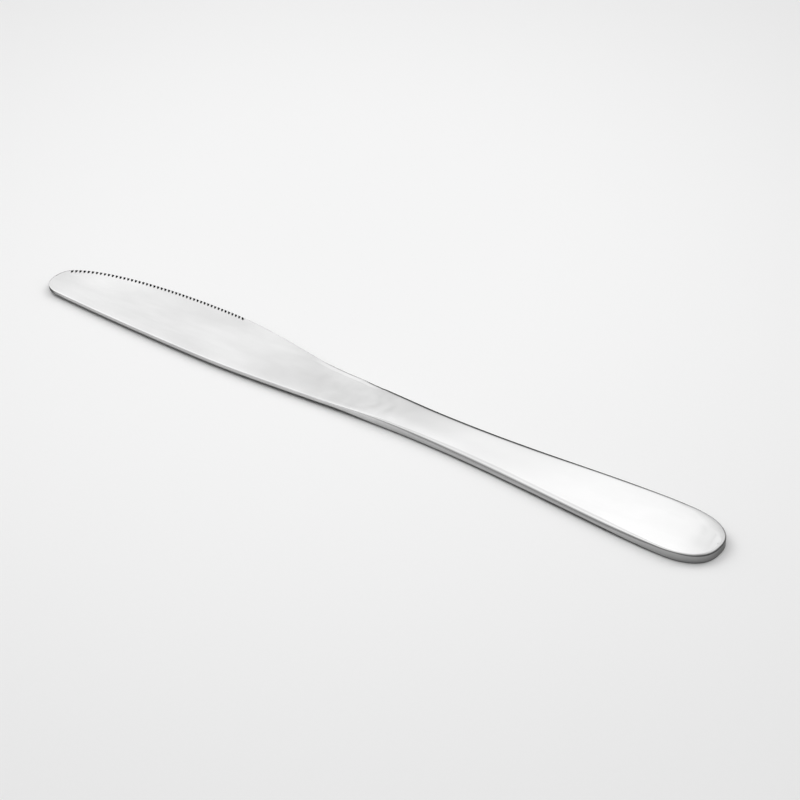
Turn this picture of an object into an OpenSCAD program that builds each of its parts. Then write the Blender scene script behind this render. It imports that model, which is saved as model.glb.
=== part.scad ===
// Table knife made from one bar of stainless steel, lying on its side with a round-tipped serrated blade.
// +X runs from the tip to the butt, +Y points to the cutting edge, +Z up from the surface it lies on.
// Heights are first worked out from the middle plane of the steel, and the knife is then set on Z = 0.

/* [Overall] */
// Length from the tip to the butt
overall_length = 220; // [190:1:250]
// Thickness of the handle between its two flats
handle_thickness = 2.8; // [2.4:0.1:3.6]

/* [Blade outline] */
// Distance of the rounded nose from the handle's axis, on the spine's side
nose_drop = 2; // [0:0.1:4]
// Length over which the nose turns into the spine
nose_length = 6.5; // [5:0.5:9]
// Length over which the nose turns into the cutting edge
tip_length = 0.8; // [0.5:0.1:1.2]
// Distance of the spine from the handle's axis just behind the nose
spine_front_reach = 8.65; // [8:0.05:9.2]
// Distance of the spine from the handle's axis at its deepest
spine_reach = 9.9; // [9:0.1:11]
// Distance from the handle's axis at which the edge's curve would meet the tip, on the spine's side
edge_drop = 0.6; // [0:0.1:1.2]
// Distance of the cutting edge from the handle's axis at the belly
belly_reach = 12.8; // [11:0.1:15]
// Fullness of the edge's curve from the tip to the belly, where 2 is an ellipse
belly_power = 2.05; // [1.9:0.05:2.3]
// Distance of the heel from the handle's axis, where the edge ends
heel_reach = 6.2; // [6:0.1:7]
// Place of the belly, as a share of the length from the tip
belly_share = 0.245; // [0.2:0.005:0.28]
// Place where the spine starts to turn in to the neck, as a share of the length
spine_bend_share = 0.265; // [0.2:0.005:0.35]
// Place of the heel, as a share of the length
heel_share = 0.51; // [0.45:0.005:0.55]

/* [Handle outline] */
// Half of the width at the neck, the narrowest place
neck_half_width = 5.8; // [4.5:0.1:6]
// Half of the width at the widest place of the grip
grip_half_width = 9.6; // [8:0.1:11]
// Place of the neck, as a share of the length
neck_share = 0.595; // [0.57:0.005:0.64]
// Place of the widest grip, as a share of the length
grip_share = 0.936; // [0.9:0.002:0.95]
// How late the handle swells towards the grip, where 1 is an even swell
swell_power = 1.12; // [1:0.02:1.4]
// Fullness of the rounded nose and butt, where 2 is an ellipse
round_power = 2.15; // [2:0.05:2.6]

/* [Section] */
// Thickness of the spine where the blade starts to swell to the handle
spine_thickness = 1.3; // [1:0.05:1.6]
// Thickness of the spine just behind the nose
nose_thickness = 1.05; // [0.8:0.05:1.2]
// Thickness of the cutting edge from the belly to the heel
edge_thickness = 0.25; // [0.2:0.05:0.4]
// Start of the run-out from blade to handle at mid width, as a share of the length
runout_share = 0.424; // [0.4:0.002:0.43]
// Length of the run-out
runout_length = 22; // [18:1:25]
// How much later the run-out starts at the spine than at the edge
runout_skew = 12; // [6:0.5:13]
// How far the run-out bows towards the handle between the rims
runout_bow = 4; // [0:0.5:5]
// Width of the eased shoulder along the handle's rim, where it is softest
shoulder_width = 1.6; // [0.8:0.05:2]
// Width of the shoulder at the neck and the butt
shoulder_end_width = 0.4; // [0.3:0.05:0.7]
// Fall of the shoulder where it is softest
shoulder_fall = 0.45; // [0.2:0.05:0.6]
// Fall of the shoulder at the neck and the butt
shoulder_end_fall = 0.25; // [0.1:0.05:0.3]
// Place where the shoulder is softest, as a share of the length
shoulder_share = 0.72; // [0.62:0.01:0.8]
// Width of the eased arris along the blade's rim
arris_width = 0.3; // [0.2:0.05:0.5]
// Fall of the eased arris along the spine
arris_fall = 0.1; // [0.05:0.01:0.15]

/* [Serration] */
// Distance from one gullet to the next along the edge
gullet_pitch = 1.26; // [1.1:0.02:1.6]
// Radius of a ground gullet
gullet_radius = 0.5; // [0.4:0.02:0.52]
// Slant of a gullet's floor to the blade, in degrees
gullet_slant = 18; // [14:1:24]
// Length of a gullet's cut, measured in from the edge
gullet_length = 2.4; // [2:0.1:3]
// Depth of a gullet below the top face at the edge
gullet_depth = 0.3; // [0.27:0.01:0.35]
// Distance of the first gullet from the tip along the length
serration_start = 1.95; // [1.25:0.05:4]
// Place of the last gullet, as a share of the length
serration_end_share = 0.266; // [0.2:0.002:0.3]

/* [Joint] */
// Place of the plane where blade and handle meet, as a share of the length
joint_share = 0.556; // [0.55:0.002:0.58]

/* [Hidden] */
// Number of cross-sections along the nose, the body and the butt
nose_steps = 14;
body_steps = 72;
butt_steps = 12;
// Share of a step left at each round end, so that the two sides don't meet in one point
end_gap_share = 0.2;
// Number of steps over one shoulder and across the face between the shoulders
shoulder_steps = 3;
face_steps = 4;
// Facets of a gullet's cut
gullet_facets = 32;
// Step used to take the slope of the outline, and the overrun of every cut
slope_step = nose_thickness / 100;
overrun = handle_thickness;

belly_place = belly_share * overall_length;
spine_bend_place = spine_bend_share * overall_length;
heel_place = heel_share * overall_length;
neck_place = neck_share * overall_length;
grip_place = grip_share * overall_length;
runout_place = runout_share * overall_length;
serration_end = serration_end_share * overall_length;
shoulder_place = shoulder_share * overall_length;
joint_place = joint_share * overall_length;
butt_length = overall_length - grip_place;
handle_axis_y = (spine_reach - belly_reach) / 2;
steel = [0.78, 0.78, 0.79];

function between(low, high, share) = low + (high - low) * share;
function held(share) = min(max(share, 0), 1);
function ease(share) = let (t = held(share)) t * t * (3 - 2 * t);
// Rounded end from 1 at its widest to 0 at the end itself
function round_end(share, power) = pow(1 - pow(share, power), 1 / power);

// Half width of the handle at a place measured from the tip
function handle_reach(place) =
    place < grip_place
        ? between(
            neck_half_width,
            grip_half_width,
            ease(pow(held((place - neck_place) / (grip_place - neck_place)), swell_power))
        )
        : grip_half_width * round_end((place - grip_place) / butt_length, round_power);

// Outline on the cutting edge's side, as a distance from the handle's axis
function belly_curve(place) =
    between(-edge_drop, belly_reach, round_end(1 - place / belly_place, belly_power));
function edge_reach(place) =
    place < tip_length
        ? between(-nose_drop, belly_curve(tip_length), sqrt(place / tip_length))
    : place < belly_place
        ? belly_curve(place)
    : place < heel_place
        ? between(belly_reach, heel_reach, ease((place - belly_place) / (heel_place - belly_place)))
    : place < neck_place
        ? between(heel_reach, neck_half_width, ease((place - heel_place) / (neck_place - heel_place)))
        : handle_reach(place);

// Outline on the spine's side, as a distance from the handle's axis
function back_reach(place) =
    place < nose_length
        ? between(nose_drop, spine_front_reach, round_end(1 - place / nose_length, round_power))
    : place < spine_bend_place
        ? let (share = (spine_bend_place - place) / (spine_bend_place - nose_length))
            between(spine_reach, spine_front_reach, pow(share, 2))
    : place < neck_place
        ? let (share = (place - spine_bend_place) / (neck_place - spine_bend_place))
            between(spine_reach, neck_half_width, ease(share))
        : handle_reach(place);

// Point of the outline in plan, where side is 1 for the edge and -1 for the spine
function rim_point(place, side) = [place, side > 0 ? edge_reach(place) : -back_reach(place)];

// Unit vector along the outline towards the butt
function rim_heading(place, side) =
    let (
        back = max(place - slope_step, 0),
        front = min(place + slope_step, overall_length),
        run = rim_point(front, side) - rim_point(back, side)
    )
    run / norm(run);

// Unit vector from the outline into the knife
function rim_inward(place, side) = let (h = rim_heading(place, side)) side * [h[1], -h[0]];

// Share of the way from blade to handle, where across runs from 0 at the edge to 1 at the spine
function runout(place, across) =
    let (
        skew = runout_skew * (across - 1 / 2),
        bow = runout_bow * (1 - pow(2 * across - 1, 2))
    )
    ease((place - runout_place - skew - bow) / runout_length);

// Share of the wedge's thickness, which grows in straight passes from the belly's line to the spine
function wedge_share(place, across) =
    let (
        edge = place < belly_place ? belly_reach : edge_reach(place),
        back = place < nose_length ? spine_front_reach : back_reach(place),
        reach = between(edge_reach(place), -back_reach(place), across)
    )
    (edge - reach) / (edge + back);

// Half of the thickness between the shoulders
function blade_half(place, across) =
    between(
        edge_thickness,
        between(nose_thickness, spine_thickness, held(place / runout_place)),
        wedge_share(place, across)
    ) / 2;
function face_half(place, across) =
    between(blade_half(place, across), handle_thickness / 2, runout(place, across));

// How soft the handle's shoulder is, from 0 at its ends to 1 where it is softest
function softness(place) =
    place < shoulder_place
        ? ease((place - heel_place) / (shoulder_place - heel_place))
        : 1 - ease((place - shoulder_place) / (grip_place - shoulder_place));

// Width and fall of the shoulder at the rim
function rim_across(side) = side > 0 ? 0 : 1;
function rim_width(place, side) =
    between(
        arris_width,
        between(shoulder_end_width, shoulder_width, softness(place)),
        runout(place, rim_across(side))
    );
function rim_fall(place, side) =
    between(
        rim_across(side) * arris_fall,
        between(shoulder_end_fall, shoulder_fall, softness(place)),
        runout(place, rim_across(side))
    );

// Column of points from the top face over the rim to the bottom face
function rim_column(place, side) =
    let (
        base = rim_point(place, side),
        inward = rim_inward(place, side),
        width = rim_width(place, side),
        fall = rim_fall(place, side),
        wall = face_half(place, rim_across(side)) - fall,
        top = [
            for (i = [0 : shoulder_steps])
                let (
                    turn = 90 * i / shoulder_steps,
                    spot = base + inward * width * (1 - sin(turn))
                )
                [spot[0], spot[1], wall + fall * cos(turn)]
        ]
    )
    concat(top, [for (i = [shoulder_steps : -1 : 0]) [top[i][0], top[i][1], -top[i][2]]]);

// Points across the face between the two shoulders, where up is 1 for the top and -1 for the bottom
function face_row(place, up) =
    let (
        edge_spot = rim_point(place, 1) + rim_inward(place, 1) * rim_width(place, 1),
        back_spot = rim_point(place, -1) + rim_inward(place, -1) * rim_width(place, -1)
    )
    [
        for (i = [1 : face_steps - 1])
            let (
                across = i / face_steps,
                spot = between(edge_spot, back_spot, across)
            )
            [spot[0], spot[1], up * face_half(place, across)]
    ];

function flat_list(lists) = [for (part = lists) each part];
function quad(a, b, c, d) = [[a, b, c], [a, c, d]];

// Places of the cross-sections, crowded towards the two round ends
function end_place(i, steps) = pow((i + end_gap_share) / (steps + end_gap_share), 2);
places = concat(
    [for (i = [0 : nose_steps]) nose_length * end_place(i, nose_steps)],
    [for (i = [1 : body_steps]) between(nose_length, grip_place, i / body_steps)],
    [for (i = [butt_steps - 1 : -1 : 0]) overall_length - butt_length * end_place(i, butt_steps)]
);

// The whole knife as one skin: a ring of columns round the outline, closed by rows across both faces
module forged_knife() {
    count = len(places);
    ring = 2 * count;
    tall = 2 * (shoulder_steps + 1);
    inner = face_steps - 1;
    columns = concat(
        [for (place = places) rim_column(place, 1)],
        [for (i = [count - 1 : -1 : 0]) rim_column(places[i], -1)]
    );
    top_rows = [for (place = places) face_row(place, 1)];
    low_rows = [for (place = places) face_row(place, -1)];
    points = concat(flat_list(columns), flat_list(top_rows), flat_list(low_rows));

    // Number of a point by its place in the ring, or across a face
    function rim(turn, k) = (turn % ring) * tall + k;
    function face(i, k, up) =
        k == 0 ? rim(i, up > 0 ? 0 : tall - 1)
        : k == face_steps ? rim(ring - 1 - i, up > 0 ? 0 : tall - 1)
        : ring * tall + (up > 0 ? 0 : count * inner) + i * inner + k - 1;

    rim_faces = [
        for (turn = [0 : ring - 1])
            let (at_end = turn == count - 1 || turn == ring - 1)
            for (k = [(at_end ? 1 : 0) : tall - (at_end ? 3 : 2)])
                each quad(rim(turn, k), rim(turn, k + 1), rim(turn + 1, k + 1), rim(turn + 1, k))
    ];
    top_faces = [
        for (i = [0 : count - 2], k = [0 : face_steps - 1])
            each quad(face(i, k, 1), face(i + 1, k, 1), face(i + 1, k + 1, 1), face(i, k + 1, 1))
    ];
    low_faces = [
        for (i = [0 : count - 2], k = [0 : face_steps - 1])
            each quad(face(i, k + 1, -1), face(i + 1, k + 1, -1), face(i + 1, k, -1), face(i, k, -1))
    ];
    // Fans that close the two faces at the nose and at the butt
    nose_faces = concat(
        [[rim(0, 1), face(0, face_steps, 1), rim(ring - 1, 1)]],
        [for (k = [0 : face_steps - 1]) [rim(0, 1), face(0, k, 1), face(0, k + 1, 1)]],
        [[rim(ring - 1, tall - 2), face(0, face_steps, -1), rim(0, tall - 2)]],
        [for (k = [0 : face_steps - 1]) [rim(0, tall - 2), face(0, k + 1, -1), face(0, k, -1)]]
    );
    last = count - 1;
    butt_faces = concat(
        [[rim(count, 1), face(last, face_steps, 1), rim(last, 1)]],
        [for (k = [0 : face_steps - 1]) [rim(last, 1), face(last, k + 1, 1), face(last, k, 1)]],
        [[rim(last, tall - 2), face(last, face_steps, -1), rim(count, tall - 2)]],
        [for (k = [0 : face_steps - 1]) [rim(last, tall - 2), face(last, k, -1), face(last, k + 1, -1)]]
    );
    translate([-overall_length / 2, handle_axis_y, handle_thickness / 2])
        polyhedron(points, concat(rim_faces, top_faces, low_faces, nose_faces, butt_faces));
}

// Everything on the handle's side of the plane where blade and handle meet
module handle_side() {
    side = spine_reach + belly_reach;
    translate([joint_place - overall_length / 2, -side, -overrun])
        cube([overall_length, 2 * side, handle_thickness + 2 * overrun]);
}

// Places of the gullets, one pitch apart along the edge
function next_gullet(place) = place + gullet_pitch * rim_heading(place, 1)[0];
gullet_places = [for (place = serration_start; place <= serration_end; place = next_gullet(place)) place];

// One ground gullet: a slanting round cut that sinks from the top face through the edge
module gullet(place) {
    spot = rim_point(place, 1);
    inward = rim_inward(place, 1);
    translate([
        spot[0] - overall_length / 2,
        spot[1] + handle_axis_y,
        handle_thickness / 2 + face_half(place, 0) - gullet_depth
    ])
        rotate([0, 90 + gullet_slant, atan2(-inward[1], -inward[0])])
            translate([-gullet_radius, 0, -gullet_length])
                cylinder(h = gullet_length + overrun, r = gullet_radius, $fn = gullet_facets);
}

module blade() {
    color(steel)
        difference() {
            forged_knife();
            handle_side();
            for (place = gullet_places) gullet(place);
        }
}

module handle() {
    color(steel)
        intersection() {
            forged_knife();
            handle_side();
        }
}

blade();
handle();
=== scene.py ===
import math

import bmesh
import bpy
import numpy as np
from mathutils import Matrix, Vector


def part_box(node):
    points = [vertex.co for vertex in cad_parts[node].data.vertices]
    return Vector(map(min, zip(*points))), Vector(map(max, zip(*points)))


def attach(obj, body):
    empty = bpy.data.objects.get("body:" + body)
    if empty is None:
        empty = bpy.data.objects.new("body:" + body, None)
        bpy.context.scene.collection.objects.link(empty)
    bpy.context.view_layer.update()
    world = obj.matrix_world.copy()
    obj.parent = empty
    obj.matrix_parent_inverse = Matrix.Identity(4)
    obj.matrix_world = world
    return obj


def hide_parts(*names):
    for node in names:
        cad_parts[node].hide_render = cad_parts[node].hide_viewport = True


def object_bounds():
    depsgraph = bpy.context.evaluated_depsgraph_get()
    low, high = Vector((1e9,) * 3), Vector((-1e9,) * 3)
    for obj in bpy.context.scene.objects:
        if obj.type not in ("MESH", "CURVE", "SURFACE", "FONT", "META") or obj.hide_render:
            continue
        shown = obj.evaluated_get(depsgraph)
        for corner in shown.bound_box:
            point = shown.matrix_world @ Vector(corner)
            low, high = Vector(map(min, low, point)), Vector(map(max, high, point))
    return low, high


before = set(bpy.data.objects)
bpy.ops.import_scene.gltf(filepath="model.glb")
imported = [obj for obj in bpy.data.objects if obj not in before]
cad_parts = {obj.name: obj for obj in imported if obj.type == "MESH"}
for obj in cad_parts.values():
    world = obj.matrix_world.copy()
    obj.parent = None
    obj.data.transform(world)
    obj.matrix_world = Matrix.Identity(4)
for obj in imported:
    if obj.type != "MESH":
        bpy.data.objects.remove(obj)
cadLow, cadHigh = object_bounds()
mm = 0.001

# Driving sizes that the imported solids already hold
handleLow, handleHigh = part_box("handle")
knifeLength = cadHigh.x - cadLow.x
handleThickness = cadHigh.z - cadLow.z
handleAxis = (handleLow.y + handleHigh.y) / 2
gripHalf = (handleHigh.y - handleLow.y) / 2
bellyReach = cadHigh.y - handleAxis
spineReach = handleAxis - cadLow.y
seamPlace = handleLow.x - cadLow.x  # blade and handle meet here
print("frame loaded, knife length", round(knifeLength / mm, 2), "mm")

# Outline seen from above: places run from the tip, reaches out from the handle's axis
outline = {
    "noseDrop": 2.0 * mm,
    "noseLength": 6.5 * mm,
    "tipLength": 0.8 * mm,
    "spineFront": 8.65 * mm,
    "edgeDrop": 0.6 * mm,
    "heelReach": 6.2 * mm,
    "neckHalf": 5.8 * mm,
    "bellyPlace": 0.245 * knifeLength,
    "bendPlace": 0.265 * knifeLength,
    "heelPlace": 0.51 * knifeLength,
    "neckPlace": 0.595 * knifeLength,
    "gripPlace": 0.936 * knifeLength,
    "nosePower": 2.15,
    "bellyPower": 2.05,
    "swellPower": 1.12,
    "buttPower": 2.3,
    "spineButtPower": 2.56,
    "bulge": 0.13 * mm,  # a little fullness along the handle's far side
    "bulgePlace": [104 * mm, 112 * mm, 200 * mm, 214 * mm],
    "headingStep": 0.004 * mm,  # either way, to find where a rim heads
}


def between(low, high, share):
    return low + (high - low) * share


def held(share):
    return np.clip(share, 0.0, 1.0)


def ease(share):
    t = held(share)
    return t * t * (3 - 2 * t)


def stretchOf(place, ends):
    # 1 between the middle two places, easing to 0 at the outer two
    rise = ease((place - ends[0]) / (ends[1] - ends[0]))
    return rise * ease((ends[3] - place) / (ends[3] - ends[2]))


def roundEnd(share, power):
    return (1 - held(share) ** power) ** (1 / power)


def handleReach(place, buttPower):
    neck, grip = outline["neckPlace"], outline["gripPlace"]
    swell = held((place - neck) / (grip - neck))
    waist = between(outline["neckHalf"], gripHalf, ease(swell ** outline["swellPower"]))
    butt = gripHalf * roundEnd((place - grip) / (knifeLength - grip), buttPower)
    return np.where(place < grip, waist, butt)


def bellyCurve(place):
    share = roundEnd(1 - place / outline["bellyPlace"], outline["bellyPower"])
    return between(-outline["edgeDrop"], bellyReach, share)


def edgeReach(place):
    keys = ("tipLength", "bellyPlace", "heelPlace", "neckPlace")
    tip, belly, heel, neck = (outline[key] for key in keys)
    heelReach, neckHalf = outline["heelReach"], outline["neckHalf"]
    bulge = outline["bulge"] * stretchOf(place, outline["bulgePlace"])
    return np.select(
        [place < tip, place < belly, place < heel, place < neck],
        [
            between(-outline["noseDrop"], bellyCurve(tip), np.sqrt(held(place / tip))),
            bellyCurve(place),
            between(bellyReach, heelReach, ease((place - belly) / (heel - belly))),
            between(heelReach, neckHalf, ease((place - heel) / (neck - heel))) + bulge,
        ],
        handleReach(place, outline["buttPower"]) + bulge,
    )


def spineSide(place):
    nose, bend, neck = outline["noseLength"], outline["bendPlace"], outline["neckPlace"]
    front = outline["spineFront"]
    return np.select(
        [place < nose, place < bend, place < neck],
        [
            between(outline["noseDrop"], front, roundEnd(1 - place / nose, outline["nosePower"])),
            between(spineReach, front, held((bend - place) / (bend - nose)) ** 2),
            between(spineReach, outline["neckHalf"], ease((place - bend) / (neck - bend))),
        ],
        handleReach(place, outline["spineButtPower"]),
    )


def rimPoint(place, side):
    # side is 1 for the edge and -1 for the spine
    reach = edgeReach(place) if side > 0 else -spineSide(place)
    return np.stack([place, reach], axis=-1)


def rimHeading(place, side):
    step = outline["headingStep"]
    ahead = rimPoint(np.minimum(place + step, knifeLength), side)
    run = ahead - rimPoint(np.maximum(place - step, 0), side)
    return run / np.linalg.norm(run, axis=-1, keepdims=True)


def rimInward(place, side):
    heading = rimHeading(place, side)
    return side * np.stack([heading[..., 1], -heading[..., 0]], axis=-1)


# Thickness of the steel: a wedge in the blade, a slab in the handle, the run-out between them
section = {
    "spine": 1.3 * mm,
    "nose": 1.05 * mm,
    "edge": 0.25 * mm,
    "runoutPlace": 0.424 * knifeLength,
    "runoutLength": 22 * mm,
    "runoutSkew": 12 * mm,
    "runoutBow": 4 * mm,
    "crownFall": 0.05 * mm,  # polish takes a little off the faces towards the rims
    "crownPower": 3,
    "buttCrownLength": 11 * mm,
    "buttCrownFall": 0.16 * mm,
    "rippleHeight": 0.045 * mm,  # waves that the wheel leaves where the run-out ends
    "rippleWidth": 1.0 * mm,
    "ripples": [(114.7 * mm, 6 * mm), (118.7 * mm, 2 * mm)],  # place in the middle and bow
}


def runoutEnd(across):
    # across is 0 at the edge's rim and 1 at the spine's
    skew = section["runoutSkew"] * (across - 0.5)
    bow = section["runoutBow"] * (1 - (2 * across - 1) ** 2)
    return section["runoutPlace"] + skew + bow + section["runoutLength"]


def runout(place, across):
    return ease(1 + (place - runoutEnd(across)) / section["runoutLength"])


def ripple(place, across):
    # 1 in the hollow of a wave
    off = (2 * across - 1) ** 2
    waves = (
        np.exp(-(((place - spot + bow * off) / section["rippleWidth"]) ** 2))
        for spot, bow in section["ripples"]
    )
    return (1 - off) ** 2 * sum(waves)


def wedgeShare(place, across):
    # the wedge thickens in straight passes from the belly's line to the spine
    edge = np.where(place < outline["bellyPlace"], bellyReach, edgeReach(place))
    back = np.where(place < outline["noseLength"], outline["spineFront"], spineSide(place))
    reach = between(edgeReach(place), -spineSide(place), across)
    return (edge - reach) / (edge + back)


def faceHalf(place, across, low=False):
    # height of a face over the middle plane; only the upper face has the butt's crown
    spine = between(section["nose"], section["spine"], held(place / section["runoutPlace"]))
    blade = between(section["edge"], spine, wedgeShare(place, across)) / 2
    power = section["crownPower"]
    crown = section["crownFall"] * np.abs(2 * across - 1) ** power
    buttShare = held(1 - (knifeLength - place) / section["buttCrownLength"])
    buttFall = 0.0 if low else section["buttCrownFall"]
    crown = crown * (1 - buttShare) + buttFall * buttShare ** power
    whole = between(blade, handleThickness / 2 - crown, runout(place, across))
    return whole - section["rippleHeight"] * ripple(place, across)


# Rims in millimetres from the tip: a soft shoulder, then round corners above and below
rims = {
    "columns": ["place", "width", "tilt", "round", "low"],
    "edge": [
        (0, 0.35, 0.13, 0.04, 0.04),
        (1.4, 0.35, 0.13, 0.04, 0.04),
        (2.2, 0.06, 0, 0.04, 0.04),
        (59.5, 0.06, 0, 0.04, 0.04),
        (62, 0.09, 0.25, 0.04, 0.04),
        (84, 0.09, 0.2, 0.04, 0.04),
        (88, 0.4, 0.05, 0.04, 0.04),
        (104, 0.4, 0.05, 0.05, 0.05),
        (108.5, 0.7, 0.27, 0.12, 0.2),
        (116, 1.2, 0.29, 0.18, 0.35),
        (126, 1.4, 0.28, 0.2, 0.45),
        (134, 1.45, 0.26, 0.2, 0.45),
        (158, 1.5, 0.25, 0.2, 0.55),
        (185, 1.1, 0.22, 0.2, 0.5),
        (200, 1.0, 0.17, 0.25, 0.35),
        (207, 1.8, 0.1, 0.3, 0.3),
        (212, 3.6, 0.07, 0.4, 0.25),
        (216, 4.0, 0.07, 0.5, 0.2),
        (219, 2.0, 0.09, 0.6, 0.14),
        (220, 0.6, 0.12, 0.6, 0.12),
    ],
    "spine": [
        (0, 0.15, 0.1, 0.08, 0.1),
        (8, 0.5, 0.1, 0.1, 0.15),
        (60, 0.6, 0.1, 0.1, 0.15),
        (99, 0.6, 0.1, 0.1, 0.25),
        (107, 0.6, 0.12, 0.15, 0.5),
        (115, 0.5, 0.12, 0.4, 0.5),
        (123, 0.4, 0.12, 0.72, 0.5),
        (134, 0.45, 0.12, 1.1, 0.55),
        (145, 0.5, 0.12, 1.45, 0.65),
        (158, 0.6, 0.12, 1.6, 0.75),
        (171, 0.6, 0.12, 1.5, 0.95),
        (181, 0.5, 0.12, 1.45, 1.0),
        (190, 0.4, 0.12, 1.4, 0.9),
        (200, 0.3, 0.1, 1.0, 0.55),
        (207, 0.15, 0.1, 0.65, 0.38),
        (212, 0.1, 0.1, 0.45, 0.28),
        (216, 0.1, 0.1, 0.6, 0.24),
        (218, 0.2, 0.1, 0.65, 0.2),
        (219.4, 0.3, 0.12, 0.7, 0.13),
        (220, 0.5, 0.12, 0.65, 0.12),
    ],
    "lowTilt": 0.2,  # share of the tilt on the underside
    "softSteps": 4,
    "roundSteps": 6,
    "wallSteps": 3,
}


def rimValue(place, side, key):
    # eases from one row of the rim to the next
    rows = np.array(rims["edge" if side > 0 else "spine"])
    knots, values = rows[:, 0] * mm, rows[:, rims["columns"].index(key)]
    i = np.clip(np.searchsorted(knots, place) - 1, 0, len(knots) - 2)
    share = ease((place - knots[i]) / (knots[i + 1] - knots[i]))
    return between(values[i], values[i + 1], share)


def rimProfile(place, side, low):
    # steps out from the face and over the rim
    width = rimValue(place, side, "width")[:, None] * mm
    radius = rimValue(place, side, "low" if low else "round")[:, None] * mm
    tilt = rimValue(place, side, "tilt")[:, None] * (rims["lowTilt"] if low else 1.0)
    soft = np.arange(rims["softSteps"] + 1) / rims["softSteps"]
    first = np.arctan(tilt)
    steps = rims["roundSteps"]
    turn = first + (math.pi / 2 - first) * np.arange(1, steps + 1) / steps
    out = np.concatenate([width * soft, width + radius * (np.sin(turn) - np.sin(first))], axis=1)
    fall = tilt * width / 2
    over = fall + radius * (np.cos(first) - np.cos(turn))
    return out, np.concatenate([fall * soft ** 2, over], axis=1)


# Gullets ground into the edge from the top face, by passes that lean back towards the handle
serration = {
    "pitch": 1.249 * mm,
    "halfWidth": 0.355 * mm,
    "length": 1.17 * mm,
    "lean": math.radians(30),
    "depth": 0.06 * mm,  # below the face, where a gullet leaves the edge
    "start": 2.0 * mm,
    "end": 0.266 * knifeLength,
    "scoopLimit": 1.5,  # a gullet counts a little past its own rim
    "clear": 1.0,  # a floor far above the knife, where there is no gullet
}


def gulletPlaces():
    places = [serration["start"]]
    while places[-1] <= serration["end"]:
        here = np.array([places[-1]])
        places.append(places[-1] + serration["pitch"] * rimHeading(here, 1)[0, 0])
    return np.array(places[:-1])


gullets = gulletPlaces()
gulletSpots = rimPoint(gullets, 1)
gulletInward = rimInward(gullets, 1)
gulletHeading = rimHeading(gullets, 1)
gulletTop = faceHalf(gullets, 0.0)


def gulletFloor(points):
    # height of the lowest gullet's floor over the middle plane
    flat = points.reshape(-1, 2)
    clear, depth = serration["clear"], serration["depth"]
    floor = np.full(len(flat), clear)
    grind = np.array([math.sin(serration["lean"]), -math.cos(serration["lean"])])
    for spot, inward, heading, top in zip(gulletSpots, gulletInward, gulletHeading, gulletTop):
        deep = np.maximum((flat - spot) @ inward, 0) / (grind @ inward)
        wide = (flat - spot) @ heading - deep * (grind @ heading)
        scoop = (deep / serration["length"]) ** 2 + (wide / serration["halfWidth"]) ** 2
        here = np.where(scoop < serration["scoopLimit"], top + depth * (scoop - 1), clear)
        floor = np.minimum(floor, here)
    return floor.reshape(points.shape[:-1])


# How finely the skin is drawn along the knife and across its faces
skin = {
    "noseSteps": 26,
    "gulletSteps": 16,
    "bodyStep": 0.5 * mm,
    "buttSteps": 40,
    "endGap": 0.15,  # share of a step left open at the tip and the butt
    "edgeRows": [0.12, 0.25, 0.38, 0.5, 0.62, 0.74, 0.86, 0.98, 1.12, 1.35, 1.8],  # mm
    "edgeRowsFit": 4 * mm,  # these close up where the blade is narrower
    "faceRows": 11,
}


def stationPlaces():
    gap, first, last = skin["endGap"], gullets[0], gullets[-1]
    pitch = gullets[1] - gullets[0]
    noseEnd = first - pitch / 2
    count = skin["noseSteps"]
    nose = [noseEnd * ((i + gap) / (count + gap)) ** 2 for i in range(count)]
    knots = np.concatenate([[noseEnd], gullets, [last + (gullets[-1] - gullets[-2]) / 2]])
    steps = np.arange(skin["gulletSteps"]) / skin["gulletSteps"]
    teeth = np.concatenate([between(a, b, steps) for a, b in zip(knots[:-1], knots[1:])])
    grip, step = outline["gripPlace"], skin["bodyStep"]
    blade = np.linspace(knots[-1], seamPlace, round((seamPlace - knots[-1]) / step) + 1)
    handle = np.linspace(seamPlace, grip, round((grip - seamPlace) / step) + 1)
    steps = (np.arange(skin["buttSteps"])[::-1] + gap) / (skin["buttSteps"] + gap)
    butt = knifeLength - (knifeLength - grip) * steps ** 2
    return np.concatenate([nose, teeth, blade]), np.concatenate([handle, butt])


# The two ends of one finish: grey share of light, roughness, and strength of the streaks
knifeBlade = {"grey": 0.805, "rough": 0.17, "streak": 0.32}
knifeHandle = {"grey": 0.87, "rough": 0.14, "streak": 0.15}

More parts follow.
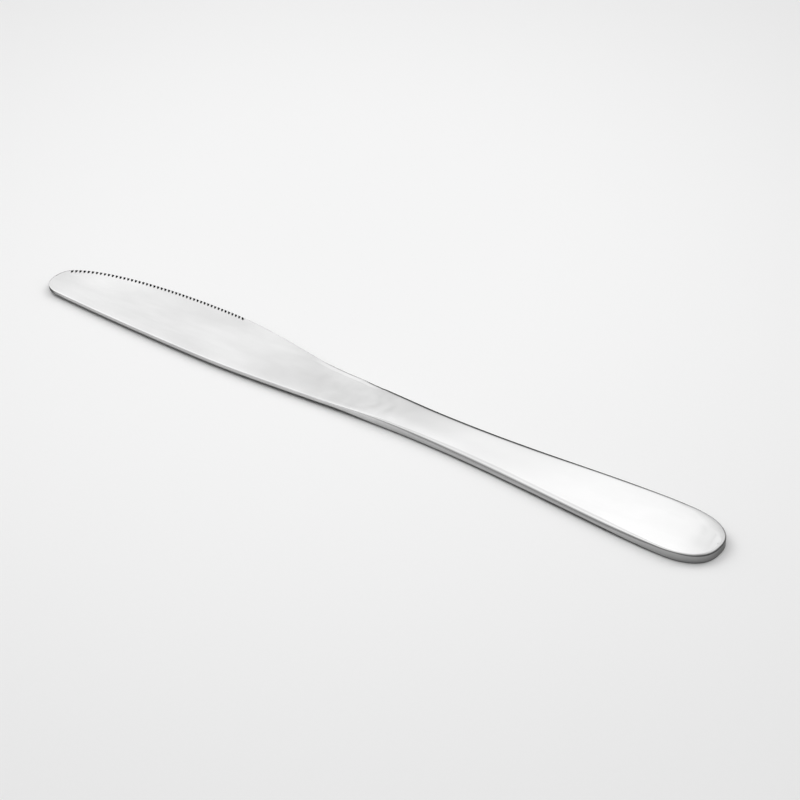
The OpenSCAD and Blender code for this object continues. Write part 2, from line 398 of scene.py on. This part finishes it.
# What the wheel and the cloth left on the steel, and the light and shade painted into its colour
finishAndPaintedLight = {
    "blendPlace": (-25 * mm, 35 * mm),  # from the blade's finish to the handle's, about the seam
    "paintedShade": [  # painted shade: share of light, lean to the edge's side, start and end
        (0.88, 0.9, [70 * mm, 98 * mm, 104 * mm, 118 * mm]),  # run-out
        (0.88, 0.3, [104 * mm, 114 * mm, 124 * mm, 148 * mm]),  # neck
        (0.9, -0.4, [104 * mm, 120 * mm, 145 * mm, 198 * mm]),  # grip
        (0.955, 0.6, [210 * mm, 218 * mm, 230 * mm, 240 * mm]),  # butt
    ],
    "landShare": 0.5,  # the narrow land along the heel is spared half of the painted shade, so it stays brighter
    "landWidth": 0.07,  # a share of the width
    "landPlace": [85 * mm, 89 * mm, 108 * mm, 112 * mm],
    "stripShare": 1.1,  # a painted highlight: a bright strip beside the spine's rim at the neck
    "stripWidth": 0.4,  # a share of the width
    "stripPlace": [96 * mm, 116 * mm, 128 * mm, 150 * mm],
    "bellyShare": 1.17,  # a painted highlight: the belly near the tip is the brightest
    "bellyPower": 1.2,
    "bellyPlace": [1 * mm, 12 * mm, 16 * mm, 40 * mm],
    # painted shade in the hollows of the waves where the run-out ends
    "rippleShare": 0.94,
    "walls": [  # millimetres from the tip, and share of the faces' light; walls are darker partly by their own duller finish and partly as painted shade, darkest at the tip and towards the butt
        (0, 0.08), (4.3, 0.08), (6, 0.5), (10, 0.72), (60, 0.72), (84, 0.78), (100, 0.88),
        (117, 0.84), (133, 0.68), (165, 0.68), (194, 0.6), (212, 0.45), (218, 0.36),
    ],
    "rimLevel": (0.93, 0.4),  # upright part of the normal, from a face to a wall
    "cornerLevel": (0.8, 0.45),  # painted shade: a dark line along the round corner, darkened twice
    "cornerFoot": (0.02, 0.25),
    "cornerShift": 0.17,  # and sooner at the butt
    "cornerShiftPlace": (-12 * mm, -5 * mm),  # from the butt's end
    "underLevel": (0.05, -0.3),
    "underShare": 0.25,  # painted shade on the lower corners, darker still
    "groundShare": 0.0,  # painted shade: the gullets are painted black
    "groundRough": 0.45,
    "rimRough": 0.02,
    "smudge": 210.0,  # cloudy marks of the wheel, most of all along the run-out
    "smudgeDetail": 3.0,
    "smudgeStretch": (1.0, 0.7, 1.0),
    "smudgeShare": 0.2,
    "smudgeFaint": 0.03,
    "smudgePlace": [84 * mm, 98 * mm, 118 * mm, 128 * mm],
    "mottle": 120.0,  # soft streaks left along the faces by the cloth
    "mottleDetail": 3.0,
    "mottleStretch": (0.4, 1.0, 1.0),
    "mottleRough": 0.06,
    "mottleDepth": 0.006 * mm,
    "hairline": 3000.0,
    "hairlineDetail": 4.0,
    "hairlineStretch": (0.012, 1.0, 1.0),
    "hairlineRough": 0.08,
    "hairlineDepth": 0.0008 * mm,
    "grazeTint": (0.6, 0.6, 0.6, 1),  # darker steel at a grazing look
}


def paintedLightShare(place, spread):
    # painted light on the faces: painted highlights on the belly and beside the spine's rim,
    # painted shade in the ripples and in darker patches
    look = finishAndPaintedLight
    land = stretchOf(place, look["landPlace"]) * (spread < look["landWidth"])
    belly = stretchOf(place, look["bellyPlace"]) * (1 - spread) ** look["bellyPower"]
    paintedLight = 1 + belly * (look["bellyShare"] - 1)
    paintedLight = paintedLight - ripple(place, spread) * (1 - look["rippleShare"])
    strip = stretchOf(place, look["stripPlace"]) * ease(1 + (spread - 1) / look["stripWidth"])
    paintedLight = paintedLight * (1 + strip * (look["stripShare"] - 1))
    offLand = 1 - land * look["landShare"]
    # darker patches of painted shade along the run-out, neck, grip and butt
    for share, lean, ends in look["paintedShade"]:
        paintedShade = stretchOf(place, ends) * offLand * (1 + lean * (0.5 - spread))
        paintedLight = paintedLight * (1 - paintedShade * (1 - share))
    return paintedLight


def wallShare(place):
    return np.interp(place / mm, *np.array(finishAndPaintedLight["walls"]).T)


def rimColumn(places, side):
    # points from the top face over the rim to the bottom face
    base, inward = rimPoint(places, side), rimInward(places, side)
    atSeam = np.isclose(places, seamPlace)
    inward = np.where(atSeam[:, None], np.array([0.0, -side]), inward)
    halves = []
    for low in (False, True):
        half = faceHalf(places, 0.0 if side > 0 else 1.0, low)[:, None]
        out, drop = rimProfile(places, side, low)
        spots = base[:, None] + inward[:, None] * (out[:, -1:] - out)[..., None]
        height = drop - half if low else half - drop
        if side > 0 and not low:
            height = np.minimum(height, gulletFloor(spots))
        halves.append(np.concatenate([spots, height[..., None]], axis=-1))
    top, under = halves
    share = np.arange(1, rims["wallSteps"])[:, None] / rims["wallSteps"]
    wall = between(top[:, -1:], under[:, -1:], share)
    return np.concatenate([top, wall, under[:, ::-1]], axis=1)


def faceRows(places, edgeSpot, backSpot, low):
    # points between the shoulders, crowded along the edge where the gullets run out
    chord = np.linalg.norm(backSpot - edgeSpot, axis=-1)
    fit = held(chord / skin["edgeRowsFit"])
    near = np.array(skin["edgeRows"]) * mm * fit[:, None] / chord[:, None]
    share = np.arange(1, skin["faceRows"]) / skin["faceRows"]
    across = np.concatenate([near, between(near[:, -1:], 1.0, share)], axis=1)
    plan = edgeSpot[:, None] + (backSpot - edgeSpot)[:, None] * across[..., None]
    return plan, faceHalf(places[:, None], across, low), across


def knifeSections(places):
    # one closed loop of points at each place, with the marks that the finish and the painted
    # light read
    edge, back = rimColumn(places, 1), rimColumn(places, -1)
    plan, half, across = faceRows(places, edge[:, 0, :2], back[:, 0, :2], False)
    lowPlan, lowHalf = faceRows(places, edge[:, -1, :2], back[:, -1, :2], True)[:2]
    floor = gulletFloor(plan)
    top = np.concatenate([plan, np.minimum(half, floor)[..., None]], axis=-1)
    low = np.concatenate([lowPlan, -lowHalf[..., None]], axis=-1)
    loops = np.concatenate([edge, low, back[:, ::-1], top[:, ::-1]], axis=1)
    tall, inner = edge.shape[1], plan.shape[1]
    spread = np.ones(loops.shape[:2])  # 0 at the edge's rim, 1 at the spine's
    spread[:, :tall] = 0
    spread[:, -inner:] = across[:, ::-1]
    ground = np.zeros(loops.shape[:2])
    ground[:, -inner:] = (floor < half)[:, ::-1]
    steps = rims["softSteps"] + rims["roundSteps"] + 1
    ground[:, :steps] = gulletFloor(edge[:, :steps, :2]) < faceHalf(places, 0.0)[:, None]
    even = np.ones(loops.shape[:2])
    marks = {
        "ground": ground,
        "paintedLight": paintedLightShare(places[:, None], spread),
        "smudge": stretchOf(places, finishAndPaintedLight["smudgePlace"])[:, None] * even,
        "wall": wallShare(places)[:, None] * even,
    }
    return loops, marks, tall, inner


def endFaces(first, tall, inner):
    # closes the round end of the skin between the edge's column and the spine's column
    count = 2 * (tall + inner)
    edge = [first + k for k in range(tall)]
    back = [first + 2 * tall + inner - 1 - k for k in range(tall)]
    topRow = [first + k for k in range(2 * tall + inner, count)]
    lowRow = [first + k for k in range(tall, tall + inner)]
    faces = [[edge[k], edge[k + 1], back[k + 1], back[k]] for k in range(1, tall - 2)]
    faces.append([edge[1], back[1], back[0], *topRow, edge[0]])
    faces.append([edge[-2], edge[-1], *lowRow, back[-1], back[-2]])
    return faces


def skinPiece(name, places, seamLast):
    loops, marks, tall, inner = knifeSections(places)
    stations, count = loops.shape[:2]
    shift = np.array([cadLow.x, handleAxis, cadLow.z + handleThickness / 2])
    points = loops.reshape(-1, 3) + shift
    faces = []
    for i in range(stations - 1):
        here, there = i * count, (i + 1) * count
        for k in range(count):
            j = (k + 1) % count
            faces.append([here + k, here + j, there + j, there + k])
    lastLoop = (stations - 1) * count
    faces += endFaces(0 if seamLast else lastLoop, tall, inner)
    seamLoop = lastLoop if seamLast else 0
    mesh = bpy.data.meshes.new(name)
    mesh.from_pydata(points.tolist(), [], faces + [[seamLoop + k for k in range(count)]])
    for key, values in marks.items():
        mark = mesh.attributes.new(key, "FLOAT", "POINT")
        mark.data.foreach_set("value", values.reshape(-1).astype(np.float32))
    draft = bmesh.new()
    draft.from_mesh(mesh)
    draft.faces.ensure_lookup_table()
    for face in draft.faces:
        face.smooth = True
    seam = draft.faces[-1]
    seam.smooth = False
    for side in seam.edges:
        side.smooth = False
    bmesh.ops.recalc_face_normals(draft, faces=draft.faces)
    openEdges = sum(not side.is_manifold for side in draft.edges)
    draft.to_mesh(mesh)
    draft.free()
    piece = bpy.data.objects.new(name, mesh)
    bpy.context.scene.collection.objects.link(piece)
    print(name, "skin:", len(mesh.polygons), "faces,", openEdges, "open edges")
    return piece


class Wire:
    # one socket of a node tree, with sums written as plain Python
    def __init__(self, tree, socket=None):
        self.tree = tree
        self.socket = socket

    def add(self, kind, settings=None, sockets=None, out=0):
        node = self.tree.nodes.new(kind)
        for key, value in (settings or {}).items():
            setattr(node, key, value)
        for key, value in (sockets or {}).items():
            if isinstance(value, Wire):
                self.tree.links.new(value.socket, node.inputs[key])
            else:
                node.inputs[key].default_value = value
        return Wire(self.tree, node.outputs[out] if node.outputs else None)

    def maths(self, operation, a, b):
        return self.add("ShaderNodeMath", {"operation": operation}, {0: a, 1: b})

    def __add__(self, other):
        return self.maths("ADD", self, other)

    def __radd__(self, other):
        return self.maths("ADD", other, self)

    def __sub__(self, other):
        return self.maths("SUBTRACT", self, other)

    def __rsub__(self, other):
        return self.maths("SUBTRACT", other, self)

    def __mul__(self, other):
        return self.maths("MULTIPLY", self, other)

    def __rmul__(self, other):
        return self.maths("MULTIPLY", other, self)

    def blend(self, low, high):
        return self * (high - low) + low

    def ramp(self, low, high, toLow=0.0, toHigh=1.0):
        sockets = {0: self, "From Min": low, "From Max": high, "To Min": toLow, "To Max": toHigh}
        return self.add("ShaderNodeMapRange", {"interpolation_type": "SMOOTHSTEP"}, sockets)

    def noise(self, scale, detail, stretch=(1, 1, 1)):
        # swings about evenly to both sides of 0.5
        spot = self.add("ShaderNodeMapping", {}, {"Vector": self, "Scale": stretch})
        sockets = {"Vector": spot, "Scale": scale, "Detail": detail}
        return self.add("ShaderNodeTexNoise", {}, sockets)

    def bump(self, depth, under=None):
        sockets = {"Strength": 1.0, "Distance": depth, "Height": self}
        if under:
            sockets["Normal"] = under
        return self.add("ShaderNodeBump", {}, sockets)

    def grey(self):
        return self.add("ShaderNodeCombineColor", {}, {"Red": self, "Green": self, "Blue": self})


def bareTree(owner):
    owner.use_nodes = True
    owner.node_tree.nodes.clear()
    return Wire(owner.node_tree)


def polishedSteel(name):
    look = finishAndPaintedLight
    material = bpy.data.materials.new(name)
    start = bareTree(material)
    spot = start.add("ShaderNodeTexCoord", out="Object")
    along = start.add("ShaderNodeSeparateXYZ", {}, {0: spot}, "X")
    facing = start.add("ShaderNodeNewGeometry", out="Normal")
    upright = start.add("ShaderNodeSeparateXYZ", {}, {0: facing}, "Z")
    level = start.add("ShaderNodeMath", {"operation": "ABSOLUTE"}, {0: upright})
    rim = level.ramp(*look["rimLevel"])  # 1 on the walls round the outline
    under = upright.ramp(*look["underLevel"])  # 1 where the steel faces down
    buttPlace = [cadHigh.x + place for place in look["cornerShiftPlace"]]
    butt = along.ramp(*buttPlace, 0.0, look["cornerShift"])
    corner = (upright - butt).ramp(*look["cornerLevel"]) * upright.ramp(*look["cornerFoot"])
    ground, paintedLight, smudge, wall = (
        start.add("ShaderNodeAttribute", {"attribute_name": key}, out="Fac")
        for key in ("ground", "paintedLight", "smudge", "wall")
    )
    grip = along.ramp(*(cadLow.x + seamPlace + place for place in look["blendPlace"]))
    mottle = spot.noise(look["mottle"], look["mottleDetail"], look["mottleStretch"])
    hair = spot.noise(look["hairline"], look["hairlineDetail"], look["hairlineStretch"])
    cloud = spot.noise(look["smudge"], look["smudgeDetail"], look["smudgeStretch"])
    streak = grip.blend(knifeBlade["streak"], knifeHandle["streak"])
    shade = grip.blend(knifeBlade["grey"], knifeHandle["grey"])
    # painted highlights and shade on the faces, then the cloth's streaks
    shade = shade * paintedLight * (1 + (mottle - 0.5) * streak)
    # painted shade: black in the gullets
    shade = shade * (1 - ground * (1 - look["groundShare"]))
    shade = shade * (1 + (cloud - 0.5) * (smudge * look["smudgeShare"] + look["smudgeFaint"]))
    # walls darker by their own finish and by painted shade, and painted shade where the steel
    # faces down
    shade = shade * (1 - rim * (1 - wall)) * (1 - under * (1 - look["underShare"]))
    shade = shade * (1 - corner * (1 - wall))  # painted shade, darkest in a line along the round corner
    rough = grip.blend(knifeBlade["rough"], knifeHandle["rough"])
    rough = rough + (hair - 0.5) * look["hairlineRough"] + (mottle - 0.5) * look["mottleRough"]
    rough = rough + rim * look["rimRough"] + ground * look["groundRough"]
    wave = mottle.bump(look["mottleDepth"])
    sockets = {
        "Base Color": shade.grey(),
        "Metallic": 1.0,
        "Roughness": rough,
        "Normal": hair.bump(look["hairlineDepth"], wave),
        "Specular Tint": look["grazeTint"],
    }
    surface = start.add("ShaderNodeBsdfPrincipled", {}, sockets)
    start.add("ShaderNodeOutputMaterial", {}, {"Surface": surface})
    return material


print("gullets:", len(gullets))
bladePlaces, handlePlaces = stationPlaces()
blade = skinPiece("knifeBlade", bladePlaces, True)
handle = skinPiece("knifeHandle", handlePlaces, False)
for piece, node, slot in ((blade, "blade", "blade_steel"), (handle, "handle", "handle_steel")):
    piece.data.materials.append(polishedSteel(slot))
    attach(piece, "root")
    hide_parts(node)
print("steel dressed")

# The photograph's viewpoint, fitted to the outline
viewpoint = {
    "azimuth": math.radians(35.8),
    "elevation": math.radians(35.0),
    "distance": 683.2 * mm,
    "target": (6.238 * mm, 5.986 * mm, 0.0),
    "field": math.radians(18.0),
    "sensor": 36.0,
    "nearest": 0.01,
    "farthest": 20.0,
}


def placeCamera():
    turn, rise = viewpoint["azimuth"], viewpoint["elevation"]
    flat = math.cos(rise)
    back = Vector((math.sin(turn) * flat, -math.cos(turn) * flat, math.sin(rise)))
    lens = bpy.data.cameras.new("camera")
    lens.sensor_width = viewpoint["sensor"]
    lens.lens = lens.sensor_width / 2 / math.tan(viewpoint["field"] / 2)
    lens.clip_start, lens.clip_end = viewpoint["nearest"], viewpoint["farthest"]
    camera = bpy.data.objects.new("camera", lens)
    camera.location = Vector(viewpoint["target"]) + back * viewpoint["distance"]
    camera.rotation_mode = "QUATERNION"
    camera.rotation_quaternion = (-back).to_track_quat("-Z", "Y")
    bpy.context.scene.collection.objects.link(camera)
    bpy.context.scene.camera = camera
    return back


towardsCamera = placeCamera()

# Soft dome of light: a pale panel behind, soft boxes beside it and overhead, dimmer in front
studio = {
    "panel": 1.02,
    "panelHeight": (19, 28),  # degrees above the floor, as the other heights
    "horizon": 0.45,  # light along the horizon, away from the dark strip under the panel
    "glossHorizon": 0.68,  # steel sees a paler room in front, and not the boxes
    "strip": 0.04,
    "stripTurn": (0.73, 0.87),  # cosine of the turn from the panel's middle
    "rise": 0.17,
    "riseHeight": (27, 40),
    "fall": -0.42,
    "fallHeight": (50, 72),
    "front": 0.28,
    "glossFront": 0.9,
    "frontTurn": (0.15, -0.7),
    "right": 0.7,
    "rightTurn": (0.09, 0.22),
    "leftBox": (-50.0, 38.0, 2.45),  # turn from the panel, height and strength
    "rightBox": (48.0, 40.0, 1.65),
    "topBox": (0.0, 90.0, 1.08),
    "boxEdge": math.cos(math.radians(25)),
    "boxCore": math.cos(math.radians(8)),
}


def lightStudio():
    world = bpy.data.worlds.new("studio")
    start = bareTree(world)
    way = start.add("ShaderNodeTexCoord", out="Generated")
    height = start.add("ShaderNodeSeparateXYZ", {}, {0: way}, "Z")
    behind = -Vector((towardsCamera.x, towardsCamera.y, 0)).normalized()
    side = Vector((behind.y, -behind.x, 0))

    def facing(aim):
        settings = {"operation": "DOT_PRODUCT"}
        return start.add("ShaderNodeVectorMath", settings, {0: way, 1: aim}, "Value")

    def above(heights, strength=1.0):
        return height.ramp(*(math.sin(math.radians(end)) for end in heights), 0.0, strength)

    def boxGlow(turn, rise, strength):
        turn, rise = math.radians(turn), math.radians(rise)
        flat = behind * math.cos(turn) + side * math.sin(turn)
        aim = flat * math.cos(rise) + Vector((0, 0, math.sin(rise)))
        return facing(aim).ramp(studio["boxEdge"], studio["boxCore"], 0.0, strength)

    back, right = facing(behind), facing(side)
    gloss = start.add("ShaderNodeLightPath", out="Is Glossy Ray")
    horizon = gloss.blend(studio["horizon"], studio["glossHorizon"])
    front = gloss.blend(studio["front"], studio["glossFront"])
    strip = back.ramp(*studio["stripTurn"], horizon, studio["strip"])
    glow = strip + above(studio["panelHeight"]) * (studio["panel"] - strip)
    glow = glow + above(studio["riseHeight"], studio["rise"])
    glow = glow + above(studio["fallHeight"], studio["fall"])
    glow = glow * back.ramp(*studio["frontTurn"], 1.0, front)
    glow = glow * right.ramp(*studio["rightTurn"], 1.0, studio["right"])
    boxes = boxGlow(*studio["leftBox"]) + boxGlow(*studio["rightBox"])
    boxes = boxes + boxGlow(*studio["topBox"])
    glow = glow + boxes * (1 - gloss)
    light = start.add("ShaderNodeBackground", {}, {"Color": glow.grey(), "Strength": 1.0})
    start.add("ShaderNodeOutputWorld", {}, {"Surface": light})
    bpy.context.scene.world = world


# Pale board under the knife, a little darker away from the middle as a painted fall-off of the
# light
board = {
    "size": 3.0,
    "grey": 0.932,
    "edgeGrey": 0.77,
    "centre": (-57 * mm, 65 * mm, 0.0),
    "spread": (148 * mm, 177 * mm, 1.0),  # across and away from the viewpoint
    "clear": 0.294,
    "fade": 1.976,
    "grain": 900.0,
    "grainDetail": 2.0,
    "grainShare": 0.01,
    "rough": 0.9,
    "shine": 0.1,
}


def layBoard():
    half = board["size"] / 2
    mesh = bpy.data.meshes.new("floor")
    corners = [(-half, -half, 0), (half, -half, 0), (half, half, 0), (-half, half, 0)]
    mesh.from_pydata(corners, [], [[0, 1, 2, 3]])
    floor = bpy.data.objects.new("floor", mesh)
    bpy.context.scene.collection.objects.link(floor)
    material = bpy.data.materials.new("paleBoard")
    start = bareTree(material)
    spot = start.add("ShaderNodeTexCoord", out="Object")
    turned = {
        "Vector": spot,
        "Location": board["centre"],
        "Rotation": (0, 0, viewpoint["azimuth"]),
        "Scale": board["spread"],
    }
    eased = start.add("ShaderNodeMapping", {"vector_type": "TEXTURE"}, turned)
    far = start.add("ShaderNodeVectorMath", {"operation": "LENGTH"}, {0: eased}, "Value")
    grain = spot.noise(board["grain"], board["grainDetail"])
    grey = far.ramp(board["clear"], board["fade"], board["grey"], board["edgeGrey"])
    grey = grey + (grain - 0.5) * board["grainShare"]
    sockets = {
        "Base Color": grey.grey(),
        "Roughness": board["rough"],
        "Specular IOR Level": board["shine"],
    }
    surface = start.add("ShaderNodeBsdfPrincipled", {}, sockets)
    start.add("ShaderNodeOutputMaterial", {}, {"Surface": surface})
    mesh.materials.append(material)


lightStudio()
layBoard()
bpy.context.scene.view_settings.view_transform = "Standard"
print("studio set")
